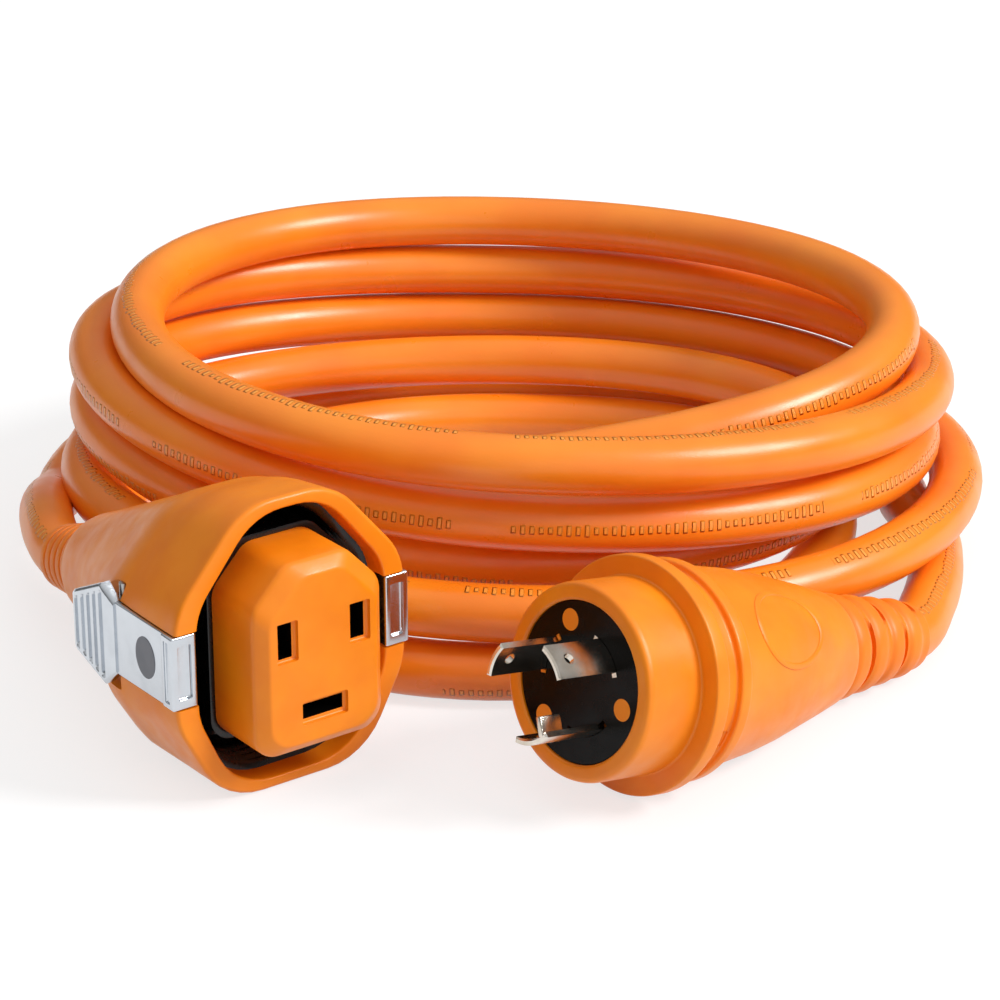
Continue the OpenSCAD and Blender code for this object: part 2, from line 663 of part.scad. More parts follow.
module cable_connector_lead() color(orange) {
    a = relief_point(0, 0, connector_relief_len);
    inside = relief_point(0, 0, connector_relief_len - 15);
    end = coil_point(0);
    tube(route(concat([inside, a], connector_lead_points, [end, coil_point(0.15)]), 3), cord_d/2, 8);
}

// Free stretch from the pile to the plug's relief
plug_lead_points = [[262, 7, 9.2], [242, -16, 9.5], [220, -35, 10]];

module cable_plug_lead() color(orange) {
    start = coil_point(coil_quarters);
    b = plug_point(plug_len + plug_relief_len);
    inside = plug_point(plug_len + plug_relief_len - 15);
    tube(route(concat([coil_point(coil_quarters - 0.15), start], plug_lead_points, [b, inside]), 3), cord_d/2, 8);
}

connector_shell();
mouth_seal();
contact_block();
contact_block_screws();
line_socket();
neutral_socket();
ground_socket();
socket_terminal_screws();
connector_line_wire();
connector_neutral_wire();
connector_ground_wire();
connector_cable_tail();
connector_clamp_upper();
connector_clamp_lower();
connector_clamp_screws();
connector_strain_relief();
left_latch();
right_latch();
left_latch_pin();
right_latch_pin();
left_latch_spring();
right_latch_spring();
plug_body();
plug_face_disc();
plug_core();
plug_core_screws();
line_blade();
neutral_blade();
ground_blade();
blade_terminal_screws();
plug_line_wire();
plug_neutral_wire();
plug_ground_wire();
plug_cable_tail();
plug_clamp_upper();
plug_clamp_lower();
plug_clamp_screws();
plug_strain_relief();
cable_coil();
cable_connector_lead();
cable_plug_lead();
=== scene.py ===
import math

import bmesh
import bpy
from mathutils import Matrix, Vector


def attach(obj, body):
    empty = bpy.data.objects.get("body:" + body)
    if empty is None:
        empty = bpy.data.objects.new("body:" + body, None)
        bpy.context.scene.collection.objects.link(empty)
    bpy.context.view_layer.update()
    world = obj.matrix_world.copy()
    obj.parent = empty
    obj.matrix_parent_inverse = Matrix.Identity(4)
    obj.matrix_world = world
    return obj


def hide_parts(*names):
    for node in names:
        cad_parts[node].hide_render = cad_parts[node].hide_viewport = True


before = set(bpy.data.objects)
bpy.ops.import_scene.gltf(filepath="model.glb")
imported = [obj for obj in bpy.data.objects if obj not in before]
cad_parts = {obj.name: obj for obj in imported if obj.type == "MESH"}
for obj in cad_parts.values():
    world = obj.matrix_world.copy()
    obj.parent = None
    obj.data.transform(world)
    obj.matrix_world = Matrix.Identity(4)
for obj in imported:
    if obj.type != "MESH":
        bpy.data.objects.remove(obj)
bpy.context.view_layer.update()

# A shore power cord: a latching connector and a locking plug on the ends of one coiled cable.
# Its pieces are drawn in millimetres round the frame's nodes, and make() turns them to metres.

MM = 0.001

# ---------------------------------------------------------------- sizes, in millimetres

CORD_R = 9.0
GAP, SNUG = 0.3, 0.02           # round what moves, and round what is pressed in
MOUTH_W, MOUTH_H = 79.0, 90.0
MOUTH_Z = MOUTH_H / 2
MOUTH_TOP, MOUTH_LOW, MOUTH_ROUND = (24, 28), (15, 28), 22     # its corners' cuts and radius
SIDE_WALL, TOP_WALL = 7.5, 3.5
MOUTH_DEPTH, WEB_BACK = 28.0, 33.0
COLLAR_LEN, SHELL_LEN = 34.0, 105.0
RELIEF_Z, RELIEF_DROOP = 32.0, 12.0
SHELL_TIP_R, CAVITY_R = CORD_R + 8, CORD_R + 7
CLAMP_START = -34.0
CONNECTOR_RELIEF_LEN, PLUG_RELIEF_LEN, RELIEF_WALL = 27.0, 42.0, 1.8
RELIEF_START = -0.6             # both reliefs start a little inside their housings
BLOCK_W, BLOCK_H, BLOCK_OUT, BLOCK_CHAMFER, BLOCK_RISE = 43.6, 58.5, 16.0, 3.6, 1.3
BLOCK_TOP, BLOCK_LOW, BLOCK_ROUND = (11.4, 12), (4.5, 4.5), 7
CONTACT_PITCH, CONTACT_RISE, CONTACT_DROP = 24.6, 8.4, 15.2
SLOT_W, SLOT_H, GROUND_SLOT_H = 4.6, 10.6, 13.6
SLOT_LENGTHS = (SLOT_H, SLOT_H, GROUND_SLOT_H)
SEAL_T, SEAL_START = 1.6, 8.0
LATCH_H, LATCH_T, LATCH_PROUD = 22.7, 2.0, 0.5
PIN_Y, PIN_R = 34.0, 1.5
KNUCKLE_R = PIN_R + 1.6
PIN_X = MOUTH_W / 2 - KNUCKLE_R - 1.2
PAD_LEN, PAD_H, PAD_T, PAD_FLARE = 18.0, 32.0, 3.6, 5.0
HOOK_LEN = 6.0
PLUG_AT = Vector((54, -63, 40))
PLUG_TURN, PLUG_TILT = 5.0, 11.5
PLUG_LEN, NOSE_LEN, NOSE_R, FLANGE_R = 102.0, 21.0, 28.8, 35.0
DISC_R, DISC_FRONT, DISC_T, CORE_LEN = 23.6, 1.0, 2.5, 30.0
BLADE_CIRCLE_R, BLADE_T, BLADE_OUT = 14.6, 1.8, 21.0
# each blade's place round the plug's axis and the angle that it spans
BLADES = {"line_blade": (129, 42), "neutral_blade": (19, 42), "ground_blade": (245, 52)}
PEG_ANGLES, PEG_R = (66, 187, 310), 3.2
PEG_CIRCLE_R = DISC_R - PEG_R - 2.4

# the pile of loops: a width or a reach per half turn, and a height per quarter turn
COIL_AT = (167, 116)
COIL_TURN = -37
COIL_HALF_WIDTHS = [156, 152, 145, 113, 142, 137, 141, 141, 126, 129, 94, 109, 134, 136]
COIL_REACHES = [146, 138, 88, 108, 120, 118, 121, 126, 120, 91, 80, 138, 112]
COIL_HEIGHTS = [13, 10, 24, 28.5, 28, 29.8, 29, 32, 49, 35.4, 38, 50.8, 68, 53.9, 57, 73, 81, 73.2,
                74, 58, 22, 10, 10, 9.2, 9.2, 9.2, 9.2]
CONNECTOR_LEAD = [(4, 147, 26), (14, 169, 23.5), (27, 191, 18.5)]
PLUG_LEAD = [(262, 7, 9.2), (242, -16, 9.5), (220, -35, 10)]
END_REACH = 3.0                 # how far the cable's end reaches into the plug's relief


# ---------------------------------------------------------------- places

def turn(degrees, axis):
    return Matrix.Rotation(math.radians(degrees), 4, axis)


RELIEF_FRAME = (Matrix.Translation((0, SHELL_LEN, RELIEF_Z)) @ turn(-RELIEF_DROOP, "X")
                @ turn(-90, "X"))
PLUG_FRAME = (Matrix.Translation(PLUG_AT) @ turn(PLUG_TURN, "Z") @ turn(PLUG_TILT, "Y")
              @ turn(90, "Y") @ turn(90, "Z"))


def latch_frame(side):
    """Side 1 is the right latch, side -1 the left one."""
    return Matrix.Translation((0, 0, MOUTH_Z)) @ Matrix.Diagonal((side, 1, 1, 1))


# ---------------------------------------------------------------- curves

def between(a, b, c, d, u):
    """Smooth curve through four values or points, from b at u = 0 to c at u = 1."""
    return 0.5 * (2 * b + (c - a) * u + (2 * a - 5 * b + 4 * c - d) * u * u
                  + (3 * b - a - 3 * c + d) * u * u * u)


def along(values, t):
    """The value at place t of a row of values, with a smooth curve between them."""
    last = len(values) - 1
    i = max(0, min(last - 1, math.floor(t)))
    return between(values[max(i - 1, 0)], values[i], values[i + 1], values[min(i + 2, last)], t - i)


def route(points, steps):
    """A smooth route; the first and the last point only give its direction."""
    inner = [between(*points[i - 1:i + 3], s / steps)
             for i in range(1, len(points) - 2) for s in range(steps)]
    return inner + [points[-2]]


def coil_point(q):
    """A point of the pile, q quarter turns after its start."""
    angle = math.radians(180 - 90 * q)
    x = along(COIL_HALF_WIDTHS, q / 2) * math.cos(angle)
    y = along(COIL_REACHES, (q - 1) / 2) * math.sin(angle)
    c, s = math.cos(math.radians(COIL_TURN)), math.sin(math.radians(COIL_TURN))
    return Vector((COIL_AT[0] + x * c - y * s, COIL_AT[1] + x * s + y * c, along(COIL_HEIGHTS, q)))


def cable_route():
    """The cable's middle line, from the connector's relief through the pile to the plug's."""
    coarse, fine, step = 6, 24, 0.15
    behind, far_behind = 15, 40     # the places inside the reliefs that give the ends' directions
    quarters = len(COIL_HEIGHTS) - 1

    def on_relief(frame_of_relief, z):
        return frame_of_relief @ Vector((0, 0, z))

    first = route([on_relief(RELIEF_FRAME, CONNECTOR_RELIEF_LEN - behind),
                   on_relief(RELIEF_FRAME, CONNECTOR_RELIEF_LEN),
                   *map(Vector, CONNECTOR_LEAD), coil_point(0), coil_point(step)], coarse)
    pile = [coil_point(i / fine) for i in range(1, quarters * fine)]
    last = route([coil_point(quarters - step), coil_point(quarters), *map(Vector, PLUG_LEAD),
                  on_relief(PLUG_FRAME, PLUG_LEN + PLUG_RELIEF_LEN),
                  on_relief(PLUG_FRAME, PLUG_LEN + PLUG_RELIEF_LEN - far_behind)], coarse)
    inside = last[-1] + (last[-1] - last[-2]).normalized() * END_REACH
    return first + pile + last + [inside]


def length_of(points):
    return sum((b - a).length for a, b in zip(points, points[1:]))


def eased(profile, radius, steps=3):
    """An open profile whose inner corners are rounded, each by no more than its sides allow."""
    out = [profile[0]]
    for a, b, c in zip(profile, profile[1:], profile[2:]):
        a, b, c = Vector(a), Vector(b), Vector(c)
        back = min(radius, 0.45 * (b - a).length, 0.45 * (c - b).length)
        p, q = b + (a - b).normalized() * back, b + (c - b).normalized() * back
        out += [tuple((1 - u) ** 2 * p + 2 * u * (1 - u) * b + u * u * q)
                for u in (i / steps for i in range(steps + 1))]
    return out + [profile[-1]]


# ---------------------------------------------------------------- outlines (x, z)

def corner(a, b, c, radius, steps):
    """The arc that rounds corner b between points a and c."""
    u, v = (a - b).normalized(), (c - b).normalized()
    half = math.acos(max(-1, min(1, u.dot(v)))) / 2
    centre = b + (u + v).normalized() * radius / math.sin(half)
    p, q = b + u * radius / math.tan(half), b + v * radius / math.tan(half)
    a0, a1 = (math.atan2(*(p - centre).yx), math.atan2(*(q - centre).yx))
    sweep = (a1 - a0 + math.pi) % (2 * math.pi) - math.pi
    return [centre + radius * Vector((math.cos(a0 + sweep * i / steps),
                                      math.sin(a0 + sweep * i / steps)))
            for i in range(steps + 1)]


def rounded(points, radius, steps=6, fill=6):
    """A closed outline with round corners and extra points along its flats."""
    points = [Vector(p) for p in points]
    n = len(points)
    corners = [corner(points[i - 1], points[i], points[(i + 1) % n], radius, steps)
               for i in range(n)]
    out = []
    for i in range(n):
        a, b = corners[i][-1], corners[(i + 1) % n][0]
        out += corners[i] + [a + (b - a) * k / fill for k in range(1, fill)]
    return out


def octagon(w, h, top, low):
    """Half width w and half height h, with corners cut by (width, height) above and below."""
    return [(w, low[1] - h), (w, h - top[1]), (w - top[0], h), (top[0] - w, h),
            (-w, h - top[1]), (-w, low[1] - h), (low[0] - w, -h), (w - low[0], -h)]


def mouth_outline(inset, inset_h):
    """The mouth's eight sides, drawn in by an inset at the sides and one above and below."""
    less, less_h = inset * 0.5, inset_h * 0.8
    return rounded(octagon(MOUTH_W / 2 - inset, MOUTH_H / 2 - inset_h,
                           (MOUTH_TOP[0] - less, MOUTH_TOP[1] - less_h),
                           (MOUTH_LOW[0] - less, MOUTH_LOW[1] - less_h)),
                   MOUTH_ROUND - inset * 0.3)


def wall_outline(grow):
    """The mouth's inside, drawn in by grow."""
    return mouth_outline(SIDE_WALL + grow, TOP_WALL + grow)


def block_outline(grow):
    """The contact block's eight sides, grown by grow."""
    outline = rounded(octagon(BLOCK_W / 2 + grow, BLOCK_H / 2 + grow, BLOCK_TOP, BLOCK_LOW),
                      BLOCK_ROUND)
    return [p + Vector((0, BLOCK_RISE)) for p in outline]


# how far the shell sinks, as shares of its height, at tenths of its length
SINK_SHARES = [0, 0.014, 0.034, 0.07, 0.1, 0.11, 0.1, 0.08, 0.052, 0.025, 0, 0, 0]


def sink(y):
    """The share by which the shell has sunk at depth y behind its mouth."""
    return max(0, along(SINK_SHARES, y / (SHELL_LEN / 10)))


def sunk(ring, y=None):
    """A ring lowered as the shell is at depth y, or at each point's own depth."""
    return [Vector((p.x, p.y, p.z * (1 - sink(p.y if y is None else y)))) for p in ring]


def standing(outline, y):
    """An outline stood up at depth y behind the mouth."""
    return [Vector((p.x, y, p.y + MOUTH_Z)) for p in outline]


# ---------------------------------------------------------------- meshes

def make(name, points, faces):
    """A closed mesh from points in millimetres, with its faces turned outward."""
    mesh = bpy.data.meshes.new(name)
    mesh.from_pydata([Vector(p) * MM for p in points], [], faces)
    obj = bpy.data.objects.new(name, mesh)
    bpy.context.scene.collection.objects.link(obj)
    work = bmesh.new()
    work.from_mesh(mesh)
    bmesh.ops.remove_doubles(work, verts=work.verts, dist=1e-7)
    bmesh.ops.recalc_face_normals(work, faces=work.faces)
    work.to_mesh(mesh)
    work.free()
    return obj


def loft(name, rings, closed=False):
    """Skins rings of equal length; an open loft gets a cap at each end."""
    n = len(rings[0])
    points = [p for ring in rings for p in ring]
    spans = range(len(rings) if closed else len(rings) - 1)
    faces = [(i * n + k, i * n + (k + 1) % n, (i + 1) % len(rings) * n + (k + 1) % n,
              (i + 1) % len(rings) * n + k) for i in spans for k in range(n)]
    if not closed:
        faces += [tuple(range(n)), tuple(range(len(points) - n, len(points)))]
    return make(name, points, faces)


def circle(sides):
    """The cosine and sine of each of a circle's points."""
    return [(math.cos(2 * math.pi * k / sides), math.sin(2 * math.pi * k / sides))
            for k in range(sides)]


def turned(profile, place, sides):
    """The rings of a profile of (radius, height) round the place's Z axis."""
    return [[place @ Vector((r * c, r * s, z)) for c, s in circle(sides)] for r, z in profile]


def lathe(name, profile, place, sides=128):
    """Turns a closed profile into a ring-shaped solid."""
    return loft(name, turned(profile, place, sides), closed=True)


def rod(name, radius, start, end, place, sides=48, bevel=0.0):
    """A solid cylinder between two heights, with eased ends."""
    middle = 1e-3
    profile = [(middle, start), (radius - bevel, start), (radius, start + bevel),
               (radius, end - bevel), (radius - bevel, end), (middle, end)]
    return loft(name, turned(profile, place, sides))


def slab(name, low, high, place, bevel=0.0, steps=3):
    """A box between two corners, with rounded edges."""
    work = bmesh.new()
    bmesh.ops.create_cube(work, size=1)
    low, high = Vector(low), Vector(high)
    for v in work.verts:
        v.co = Vector(((v.co[i] + 0.5) * (high[i] - low[i]) + low[i] for i in range(3)))
    if bevel:
        bmesh.ops.bevel(work, geom=work.edges[:], offset=bevel, segments=steps, affect="EDGES",
                        profile=0.5)
    points = [place @ v.co for v in work.verts]
    faces = [[v.index for v in f.verts] for f in work.faces]
    work.free()
    return make(name, points, faces)


def settle(obj):
    """Turns an object's modifiers into its mesh."""
    graph = bpy.context.evaluated_depsgraph_get()
    mesh = bpy.data.meshes.new_from_object(obj.evaluated_get(graph))
    old = obj.data
    obj.modifiers.clear()
    obj.data = mesh
    bpy.data.meshes.remove(old)


def combine(obj, operation, tools):
    """Cuts the tools out of obj, or joins them to it, and removes them."""
    for tool in tools:
        change = obj.modifiers.new("shape", "BOOLEAN")
        change.operation, change.solver, change.object = operation, "EXACT", tool
        settle(obj)
        mesh = tool.data
        bpy.data.objects.remove(tool)
        bpy.data.meshes.remove(mesh)


def cut(obj, *tools):
    combine(obj, "DIFFERENCE", tools)


def fuse(obj, *tools):
    combine(obj, "UNION", tools)


def finish_piece(obj, look, slot, *nodes, body="cord", angle=32):
    """Shades a piece, gives it its look and places it on its body."""
    mesh = obj.data
    mesh.materials.clear()
    mesh.materials.append(look)
    mesh.shade_smooth()
    mesh.set_sharp_from_angle(angle=math.radians(angle))
    if nodes:
        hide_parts(*nodes)
    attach(obj, body)


# ---------------------------------------------------------------- looks

def srgb(red, green, blue):
    """A colour from its 0 to 255 values."""
    return tuple(((v / 255 + 0.055) / 1.055) ** 2.4 if v > 10 else v / 255 / 12.92
                 for v in (red, green, blue)) + (1.0,)


class Signal:
    """An output of a graph's nodes; arithmetic on it adds Math nodes."""

    def __init__(self, graph, socket):
        self.graph, self.socket = graph, socket

    def math(self, operation, first, second=0.0):
        return self.graph.node("ShaderNodeMath", {"operation": operation}, {0: first, 1: second})

    def __add__(self, other):
        return self.math("ADD", self, other)

    def __sub__(self, other):
        return self.math("SUBTRACT", self, other)

    def __rsub__(self, other):
        return self.math("SUBTRACT", other, self)

    def __mul__(self, other):
        return self.math("MULTIPLY", self, other)

    def __lt__(self, other):
        return self.math("LESS_THAN", self, other)

    def __gt__(self, other):
        return self.math("GREATER_THAN", self, other)

    def __abs__(self):
        return self.math("ABSOLUTE", self)

    def fraction(self):
        return self.math("FRACT", self)

    __radd__, __rmul__ = __add__, __mul__


class Graph:
    """The nodes of a material or of the world."""

    def __init__(self, owner):
        owner.use_nodes = True
        self.tree = owner.node_tree

    def node(self, kind, settings, inputs, output=0):
        """Adds a node with its settings and the values or links of its sockets."""
        made = self.tree.nodes.new(kind)
        for key, value in settings.items():
            setattr(made, key, value)
        for key, value in inputs.items():
            if isinstance(value, Signal):
                self.tree.links.new(value.socket, made.inputs[key])
            else:
                made.inputs[key].default_value = value
        return Signal(self, made.outputs[output])

    def spread(self, signal, low, high, out_low, out_high):
        """Maps low..high of a signal to another range, and clamps it."""
        return self.node("ShaderNodeMapRange", {}, {"Value": signal, "From Min": low,
                         "From Max": high, "To Min": out_low, "To Max": out_high})

    def finish(self, signal, end, socket):
        """Links a signal to one of the end nodes that the graph starts with."""
        self.tree.links.new(signal.socket, self.tree.nodes[end].inputs[socket])


class Look(Graph):
    """A procedural material round one Principled shader."""

    def __init__(self, name, **constants):
        self.material = bpy.data.materials.new(name)
        super().__init__(self.material)
        self.shader = self.tree.nodes["Principled BSDF"]
        for socket, value in constants.items():
            title = socket.replace("_", " ").title().replace("Ior", "IOR")
            self.shader.inputs[title].default_value = value

    def feed(self, socket, signal):
        self.finish(signal, "Principled BSDF", socket)

    def place(self, scale):
        """The point's own coordinates, stretched."""
        spot = self.node("ShaderNodeTexCoord", {}, {}, "Object")
        return self.node("ShaderNodeMapping", {}, {"Vector": spot, "Scale": scale})

    def noise(self, scale, detail, stretch=(1, 1, 1)):
        return self.node("ShaderNodeTexNoise", {}, {"Vector": self.place(stretch), "Scale": scale,
                                                    "Detail": detail})

    def blend(self, share, first, second):
        """Mixes two colours."""
        return self.node("ShaderNodeMix", {"data_type": "RGBA"}, {0: share, 6: first, 7: second},
                         2)

    def relief(self, height, depth):
        """Feeds a height in 0..1, depth metres tall, to the shader's normal."""
        self.feed("Normal", self.node("ShaderNodeBump", {}, {"Height": height, "Strength": 1.0,
                                                             "Distance": depth}))


def moulded(name, colour, shade, roughness, grain, shine=0.45):
    """Coloured plastic or rubber from a mould: cloudy colour, fine grain, uneven gloss."""
    look = Look(name, specular_ior_level=shine)
    cloud = look.spread(look.noise(60, 3), 0.35, 0.65, 0, 1)
    fine = look.noise(2600, 2)
    gloss = look.spread(look.noise(180, 4), 0.3, 0.7, roughness - 0.06, roughness + 0.08)
    look.feed("Base Color", look.blend(cloud, colour, shade))
    look.feed("Roughness", gloss)
    look.relief(fine, grain)
    return look.material


def metal(name, colour, stain, roughness, stretch=(1, 1, 1), scratch=0.00002):
    """Plated or bare metal with fine drawn marks and a slight stain."""
    look = Look(name, metallic=1.0)
    stained = look.spread(look.noise(140, 4), 0.45, 0.75, 0, 1)
    drawn = look.noise(900, 3, stretch)
    look.feed("Base Color", look.blend(stained, colour, stain))
    look.feed("Roughness", look.spread(drawn, 0.3, 0.7, roughness * 0.7, roughness * 1.4))
    look.relief(drawn, scratch)
    return look.material


MARK_PITCH = 2.7
GROUP_LEN, GROUP_SHARE = 118, 0.86   # a group of marks and its bare gap, and the group's share


def sheath():
    """The cable's jacket: satin, with groups of plain raised marks in a row along it, their colour
    lightened as a painted highlight.

    The cable's strip attribute gives each point's way along the cable, its height over the
    middle of the row, and whether it is on the row's side, all in millimetres.
    """
    look = Look("sheath", specular_ior_level=0.6)
    cloud = look.spread(look.noise(26, 3), 0.35, 0.65, 0, 1)
    look.feed("Roughness", look.spread(look.noise(70, 4), 0.3, 0.7, 0.27, 0.38))
    strip = look.node("ShaderNodeAttribute", {"attribute_name": "strip"}, {}, "Vector")
    run, rise, front = (look.node("ShaderNodeSeparateXYZ", {}, {"Vector": strip}, axis)
                        for axis in "XYZ")
    step = run * (1 / MARK_PITCH)
    pick = look.node("ShaderNodeTexWhiteNoise", {"noise_dimensions": "1D"},
                     {"W": look.node("ShaderNodeMath", {"operation": "FLOOR"}, {0: step})})
    bar = look.spread(abs(step.fraction() - 0.32), 0.16, 0.3, 1, 0)
    tall = pick * 0.9 + 0.9
    high = look.spread(abs(rise) - tall, -0.25, 0.25, 1, 0)
    group = (run * (1 / GROUP_LEN)).fraction() < GROUP_SHARE
    marks = bar * high * group * (front > 0)
    plain = look.blend(cloud, srgb(254, 145, 29), srgb(249, 132, 23))
    # painted highlight: the raised marks are coloured pale orange to stand in for light catching
    # their raised faces
    look.feed("Base Color", look.blend(marks * 0.45, plain, srgb(255, 186, 84)))
    look.relief(look.noise(1500, 3) * 0.03 + marks * 0.9, 0.0011)
    return look.material


LOOKS = {
    "sheath": sheath(),
    "housing": moulded("housing", srgb(253, 143, 15), srgb(247, 132, 12), 0.38, 0.00003),
    "sleeve": moulded("sleeve", srgb(251, 138, 22), srgb(246, 127, 18), 0.42, 0.00005),
    "seal": moulded("seal", srgb(9, 9, 9), srgb(14, 14, 14), 0.26, 0.00002),
    "face": moulded("face", srgb(6, 5, 5), srgb(9, 8, 7), 0.24, 0.00001, 0.12),
    "clamp": moulded("clamp", srgb(70, 70, 72), srgb(58, 58, 60), 0.5, 0.00004),
    "chrome": metal("chrome", srgb(206, 211, 217), srgb(198, 203, 209), 0.2, (1, 1, 9), 0.000002),
    "nickel": metal("nickel", srgb(222, 214, 202), srgb(198, 186, 168), 0.16, (1, 1, 10)),
    "badge": moulded("badge", srgb(112, 114, 122), srgb(104, 106, 114), 0.4, 0.00001),
    "brass": metal("brass", srgb(214, 170, 84), srgb(190, 142, 66), 0.26),
    "steel": metal("steel", srgb(190, 190, 188), srgb(165, 165, 164), 0.3),
    "black_wire": moulded("black_wire", srgb(20, 20, 20), srgb(28, 28, 28), 0.4, 0.00003),
    "white_wire": moulded("white_wire", srgb(226, 226, 220), srgb(214, 214, 208), 0.4, 0.00003),
    "green_wire": moulded("green_wire", srgb(40, 120, 52), srgb(32, 104, 44), 0.4, 0.00003),
}


# ---------------------------------------------------------------- camera and cable

CAMERA_AT = Vector((-461.6, -711.2, 433.7))
CAMERA_AZIMUTH, CAMERA_ELEVATION = -37, 22.2
LENS, SENSOR = 116.57, 36


def look_back(thing, way):
    """Turns a camera or lamp so that its back faces a direction."""
    thing.rotation_euler = Vector(way).to_track_quat("Z", "Y").to_euler()


def add_camera():
    camera = bpy.data.objects.new("camera", bpy.data.cameras.new("camera"))
    bpy.context.scene.collection.objects.link(camera)
    camera.data.lens, camera.data.sensor_width = LENS, SENSOR
    camera.data.clip_end = 50
    camera.location = CAMERA_AT * MM
    azimuth, elevation = math.radians(CAMERA_AZIMUTH), math.radians(CAMERA_ELEVATION)
    look_back(camera, (math.sin(azimuth) * math.cos(elevation),
                       -math.cos(azimuth) * math.cos(elevation), math.sin(elevation)))
    bpy.context.scene.camera = camera


def tube(name, path, radius, sides):
    """A round tube along a path that is never upright; each ring starts at its top."""
    rings = []
    for i, centre in enumerate(path):
        ahead = (path[min(i + 1, len(path) - 1)] - path[max(i - 1, 0)]).normalized()
        side = ahead.cross(Vector((0, 0, 1))).normalized()
        up = side.cross(ahead)
        rings.append([centre + radius * (c * up + s * side) for c, s in circle(sides)])
    return loft(name, rings)


def mark_lean(run):
    """Where the row of marks is round the cable: it wanders as the cable twists."""
    return math.radians(-62 + 38 * math.sin(run / 410) + 25 * math.sin(run / 170 + 2))


def add_cable():
    """The whole cable, from the connector's relief to the plug's."""
    path, sides = cable_route(), 28
    cable = tube("cable", path, CORD_R, sides)
    strip = cable.data.attributes.new("strip", "FLOAT_VECTOR", "POINT")
    run = 0.0
    for i, centre in enumerate(path):
        run += (centre - path[i - 1]).length if i else 0
        for k in range(sides):
            angle = 2 * math.pi * k / sides - mark_lean(run)
            strip.data[i * sides + k].vector = (run, CORD_R * math.sin(angle), math.cos(angle))
    finish_piece(cable, LOOKS["sheath"], "cable_sheath",
                 "cable_coil", "cable_connector_lead", "cable_plug_lead")
    path[0] * MM
    length_of(path) * MM
    [p * MM for p in path]


# ---------------------------------------------------------------- connector

# how round the shell is, from 0 as the mouth to 1 as the cable, at shares of its rear's length
REAR_SHAPE = [0, 0.03, 0.1, 0.22, 0.35, 0.48, 0.65, 0.8, 0.92, 1]
REAR_PLACES = [0, 0.08, 0.15, 0.25, 0.35, 0.45, 0.59, 0.73, 0.87, 1]


def roundness(share):
    """How round the shell is at a share of its rear's length."""
    for i in range(len(REAR_PLACES) - 1):
        if share <= REAR_PLACES[i + 1]:
            u = (share - REAR_PLACES[i]) / (REAR_PLACES[i + 1] - REAR_PLACES[i])
            return along(REAR_SHAPE, i + max(0, u))
    return 1.0


def rear_section(outline, y, part, radius):
    """An outline that turns from the mouth's shape into a circle round the cable's axis."""
    ring = []
    for p in outline:
        angle = math.atan2(p.y, p.x)
        end = RELIEF_FRAME @ Vector((radius * math.cos(angle), -radius * math.sin(angle),
                                     y - SHELL_LEN))
        ring.append(Vector((p.x, y, p.y + MOUTH_Z)).lerp(end, part))
    return sunk(ring, y)


def latch_room(side):
    """The room that a latch needs in the shell."""
    place = latch_frame(side)
    high, face = LATCH_H / 2 + GAP, MOUTH_W / 2
    floor = face - (LATCH_T + GAP - LATCH_PROUD)
    return [
        slab("room", (floor, -1, -high), (face + 12, PIN_Y + PAD_LEN + 4, high), place, 0.6),
        slab("room", (face - SIDE_WALL - 3, -4, -high), (face + 20, HOOK_LEN + 0.6, high),
             place, 0.6),
        slab("room", (PIN_X - KNUCKLE_R - GAP, PIN_Y - KNUCKLE_R - GAP, -high),
             (face + 20, PIN_Y + KNUCKLE_R + GAP, high), place, 0.5),
        slab("room", (floor - 2.4, PIN_Y - 3, -PAD_H / 2 - 0.6),
             (face + 14, PIN_Y + PAD_LEN + 4, PAD_H / 2 + 0.6), place, 1.2),
    ]


def add_shell():
    """One skin: out of the mouth, round its rim, and back to the cable."""
    inner_edge, outer_edge, stations = 0.8, 1.3, 26
    turns, skin = (0.4, 0.8, 1.2, math.pi / 2), mouth_outline(0, 0)
    rings = [sunk(standing(wall_outline(0), y)) for y in (MOUTH_DEPTH, 20, 12)]
    rings += [standing(wall_outline(-d), y)
              for d, y in [(0, 4), (0, 1)] + [(inner_edge * (1 - math.cos(a)),
                                               inner_edge * (1 - math.sin(a))) for a in turns]]
    for a in (0, *turns):
        inset = outer_edge * (1 - math.sin(a))
        rings.append(standing(mouth_outline(inset, inset), outer_edge * (1 - math.cos(a))))
    rings += [sunk(standing(skin, y)) for y in range(3, int(COLLAR_LEN), 3)]
    for i in range(stations + 1):
        share, draw = i / stations, 0.5 if i == stations else 0
        rings.append(rear_section(skin, COLLAR_LEN + share * (SHELL_LEN - COLLAR_LEN),
                                  roundness(share), SHELL_TIP_R - draw))
    rings += [rear_section(skin, y, 1, CORD_R + SNUG) for y in (SHELL_LEN, SHELL_LEN - 5)]
    shell = loft("shell", rings)

    room = mouth_outline(SIDE_WALL + 1, TOP_WALL + 1.5)
    cavity = loft("cavity", [rear_section(room, WEB_BACK + depth, part, CAVITY_R - 0.2)
                             for depth, part in ((0, 0), (14, 0.15), (30, 0.6), (47, 1))])
    cut(shell, cavity, rod("cavity", CAVITY_R, CLAMP_START - 3, -4.9, RELIEF_FRAME, 96))
    for side in (1, -1):
        cut(shell, *latch_room(side))
    finish_piece(shell, LOOKS["housing"], "orange_housing", "connector_shell")


def contact_frame(i):
    """The place of slot i: two upright ones, then the lying one below them."""
    if i == 2:
        return Matrix.Translation((0, 0, MOUTH_Z - CONTACT_DROP)) @ turn(90, "Y")
    return Matrix.Translation(((2 * i - 1) * CONTACT_PITCH / 2, 0, MOUTH_Z + CONTACT_RISE))


